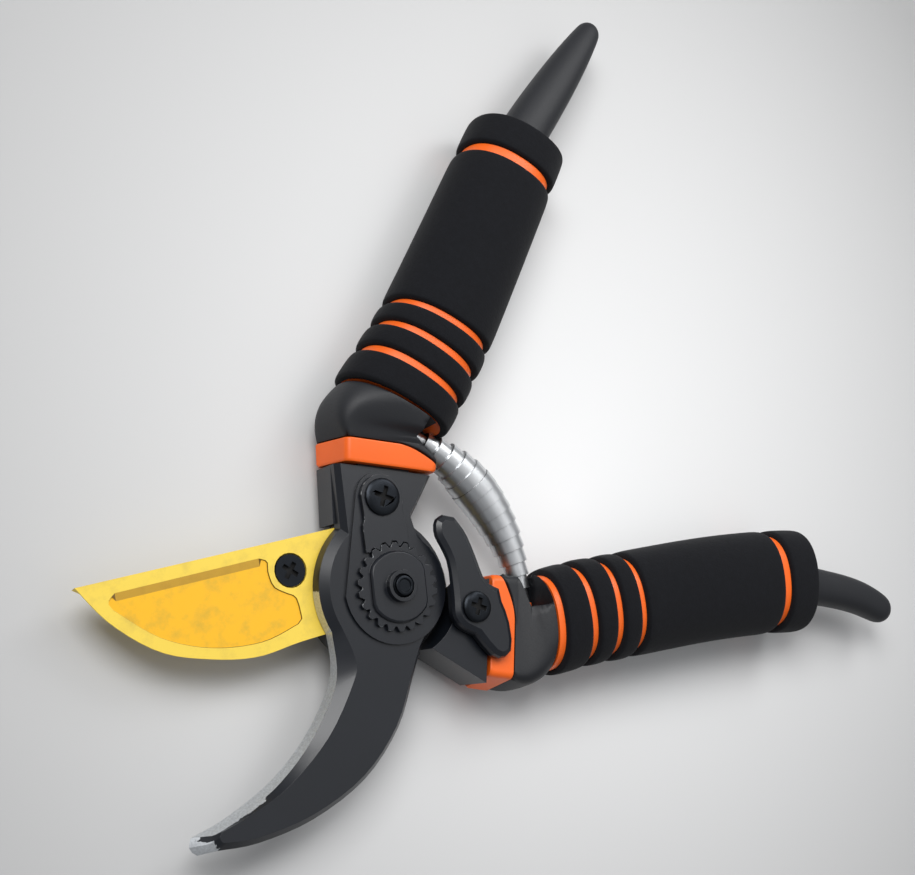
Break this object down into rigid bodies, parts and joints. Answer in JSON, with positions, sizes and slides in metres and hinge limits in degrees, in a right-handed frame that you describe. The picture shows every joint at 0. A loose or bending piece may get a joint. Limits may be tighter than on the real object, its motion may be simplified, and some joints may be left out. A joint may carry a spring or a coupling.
{
  "type": "pruning shears",
  "caption": "Bypass pruning shears lying open, with a coated blade, painted hook, geared pivot nut, thumb latch, coiled strip spring and banded foam grips.",
  "frame": {"origin": "middle of the pivot bolt head's flat back face, on the table", "axes": "+Z along the pivot from the bolt head to the gear nut, +X from the pivot towards the grips, the hook half on the +Y side"},
  "size_m": [0.2183, 0.1775, 0.0214],
  "materials": {
    "painted_steel": "satin charcoal paint on forged steel",
    "coated_blade_steel": "satin yellow low-friction coating",
    "blackened_steel": "black oxide",
    "zinc_steel": "zinc plated",
    "bronze": "sintered bronze",
    "bright_spring_steel": "bright plated spring strip",
    "dark_vinyl": "dipped vinyl, faint texture",
    "orange_vinyl": "moulded vinyl, satin",
    "foam_rubber": "closed-cell foam, matte"
  },
  "bodies": {
    "hook_side": {"hook_arm": "painted_steel", "pivot_bolt": "blackened_steel", "pivot_washer": "zinc_steel", "pivot_bushing": "bronze", "gear_nut": "painted_steel", "lock_plate": "painted_steel", "lock_plate_screw": "blackened_steel", "return_spring": "bright_spring_steel", "upper_collar": "orange_vinyl", "upper_handle": "dark_vinyl", "upper_inner_sleeve": "orange_vinyl", "upper_grip_ring_1": "foam_rubber", "upper_grip_ring_2": "foam_rubber", "upper_grip_ring_3": "foam_rubber", "upper_grip_sleeve": "foam_rubber", "upper_grip_end_ring": "foam_rubber", "upper_spring_seat": "orange_vinyl"},
    "blade_side": {"cutting_blade": "coated_blade_steel", "blade_screw": "blackened_steel", "lower_arm": "painted_steel", "latch_screw": "blackened_steel", "latch_washer": "zinc_steel", "lower_collar": "orange_vinyl", "lower_handle": "dark_vinyl", "lower_inner_sleeve": "orange_vinyl", "lower_grip_ring_1": "foam_rubber", "lower_grip_ring_2": "foam_rubber", "lower_grip_ring_3": "foam_rubber", "lower_grip_sleeve": "foam_rubber", "lower_grip_end_ring": "foam_rubber", "lower_spring_seat": "orange_vinyl"},
    "latch": {"latch_lever": "painted_steel"}
  },
  "joints": [
    {"name": "pivot", "type": "hinge", "parent": "hook_side", "child": "blade_side", "pos_m": [0, 0, 0.01075], "axis": [0, 0, 1], "range_deg": [0, 46], "stiffness_Nm_per_rad": 0.8, "springref_deg": -28.65, "deforming": ["return_spring"]},
    {"name": "latch_swing", "type": "hinge", "parent": "blade_side", "child": "latch", "pos_m": [0.01032, -0.01496, 0.01699], "axis": [0, 0, 1], "range_deg": [0, 25]}
  ]
}
